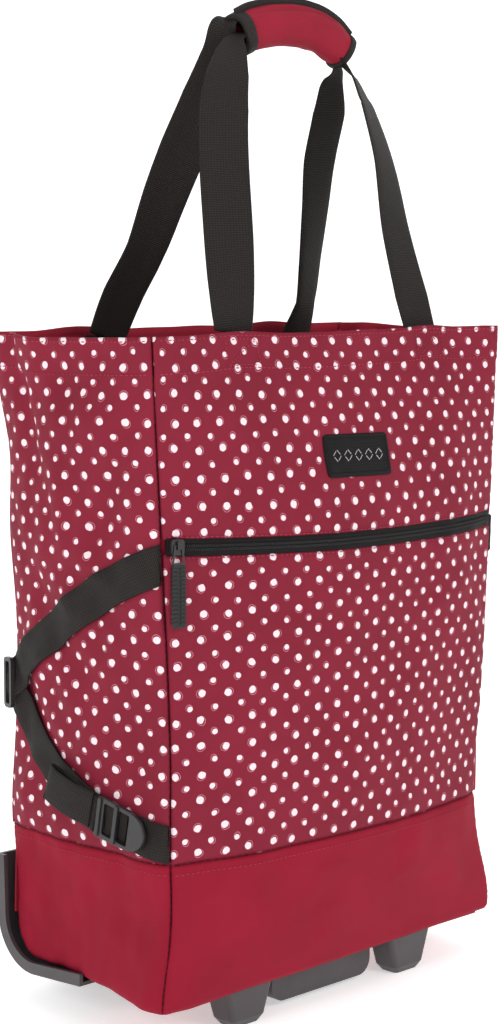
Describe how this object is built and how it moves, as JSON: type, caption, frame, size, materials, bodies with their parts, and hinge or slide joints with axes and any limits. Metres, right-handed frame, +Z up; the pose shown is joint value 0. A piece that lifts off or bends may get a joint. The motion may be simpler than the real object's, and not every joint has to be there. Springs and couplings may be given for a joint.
{
  "type": "wheeled shopping bag",
  "caption": "Upright fabric shopping bag on two rear wheels, with a front zip pocket, side straps, carry handles, front feet and a telescopic pull handle.",
  "frame": {"origin": "on the floor, under the centre of the whole object's box", "axes": "+Z up, -Y towards the front pocket, +Y towards the wheels, +X to the right seen from the front"},
  "size_m": [0.428, 0.2584, 0.8406],
  "materials": {
    "printed_fabric": "woven polyester printed with pale dots",
    "lining_fabric": "plain woven polyester",
    "band_fabric": "plain dense woven polyester",
    "wrap_fabric": "plain woven polyester over foam",
    "webbing": "black ribbed webbing",
    "label_fabric": "matte black patch",
    "zip_tape": "black zip tape and coil",
    "zip_metal": "black enamel",
    "pull_plastic": "soft moulded black",
    "buckle_plastic": "moulded acetal",
    "grey_plastic": "moulded, fine texture",
    "board_plastic": "smooth sheet",
    "tyre_rubber": "moulded rubber",
    "hub_plastic": "moulded",
    "steel": "zinc plated",
    "tube_metal": "satin anodised",
    "handle_plastic": "moulded, fine texture"
  },
  "bodies": {
    "bag": {"axles": "steel", "back_board": "board_plastic", "base_board": "board_plastic", "base_front_panel": "band_fabric", "base_rear_panel": "band_fabric", "bottom_grip": "grey_plastic", "bottom_panel": "band_fabric", "buckle_anchors": "webbing", "frame_screws": "steel", "front_handle_webbing": "webbing", "front_label": "label_fabric", "front_pocket_panel": "printed_fabric", "front_upper_panel": "printed_fabric", "handle_channel_panel": "lining_fabric", "handle_ends": "webbing", "handle_lower_brackets": "handle_plastic", "handle_upper_bracket": "handle_plastic", "left_base_side_panel": "handle_plastic", "left_front_foot": "grey_plastic", "left_side_panel": "printed_fabric", "left_strap_buckle": "buckle_plastic", "left_strap_lower_run": "webbing", "left_strap_upper_run": "webbing", "left_wheel_housing": "grey_plastic", "outer_tube_bushes": "handle_plastic", "outer_tubes": "tube_metal", "pocket_back_panel": "lining_fabric", "pocket_zip_coil": "zip_tape", "pocket_zip_tape": "zip_tape", "rear_panel": "printed_fabric", "right_base_side_panel": "handle_plastic", "right_front_foot": "grey_plastic", "right_side_panel": "printed_fabric", "right_strap_buckle": "buckle_plastic", "right_strap_lower_run": "webbing", "right_strap_upper_run": "webbing", "right_wheel_housing": "grey_plastic", "ring_tabs": "webbing", "strap_free_ends": "webbing", "strap_rings": "buckle_plastic", "top_flaps": "lining_fabric", "top_zip_slider": "zip_metal", "top_zip_tail": "lining_fabric", "top_zip_tapes": "zip_tape"},
    "left_wheel": {"left_tyre": "tyre_rubber", "left_wheel_hub": "hub_plastic"},
    "right_wheel": {"right_tyre": "tyre_rubber", "right_wheel_hub": "hub_plastic"},
    "handle_middle": {"middle_tubes": "tube_metal", "middle_tube_bushes": "handle_plastic"},
    "handle_upper": {"inner_tubes": "tube_metal", "grip_lower_shell": "handle_plastic", "grip_upper_shell": "handle_plastic"},
    "release_button": {"release_button": "handle_plastic", "release_rods": "steel"},
    "zip_slider": {"pocket_zip_slider": "zip_metal"},
    "zip_pull": {"pocket_pull_loop": "zip_metal", "pocket_pull_tab": "pull_plastic"},
    "carry_handle": {"rear_handle_webbing": "webbing", "handle_wrap": "wrap_fabric"}
  },
  "joints": [
    {"name": "left_wheel_spin", "type": "hinge", "parent": "bag", "child": "left_wheel", "pos_m": [-0.112, 0.0892, 0.04], "axis": [1, 0, 0], "continuous": true},
    {"name": "right_wheel_spin", "type": "hinge", "parent": "bag", "child": "right_wheel", "pos_m": [0.112, 0.0892, 0.04], "axis": [1, 0, 0], "continuous": true},
    {"name": "handle_lower_slide", "type": "slide", "parent": "bag", "child": "handle_middle", "axis": [0, 0, 1], "range_m": [0, 0.25]},
    {"name": "handle_upper_slide", "type": "slide", "parent": "handle_middle", "child": "handle_upper", "axis": [0, 0, 1], "range_m": [0, 0.25]},
    {"name": "release_button_press", "type": "slide", "parent": "handle_upper", "child": "release_button", "axis": [0, 0, -1], "range_m": [0, 0.003], "stiffness_N_per_m": 600, "springref_m": -0.003},
    {"name": "pocket_zip_travel", "type": "hinge", "parent": "bag", "child": "zip_slider", "pos_m": [0, 0.56502, 0.395], "axis": [0, 0, 1], "range_deg": [0, 30.4]},
    {"name": "pocket_pull_swing", "type": "hinge", "parent": "zip_slider", "child": "zip_pull", "pos_m": [-0.18758, -0.10826, 0.3965], "axis": [-0.9633, 0.2684, 0], "range_deg": [0, 150]},
    {"name": "carry_handle_fold", "type": "hinge", "parent": "bag", "child": "carry_handle", "pos_m": [0, 0.0695, 0.557], "axis": [1, 0, 0], "range_deg": [0, 60], "deforming": ["front_handle_webbing"]}
  ]
}
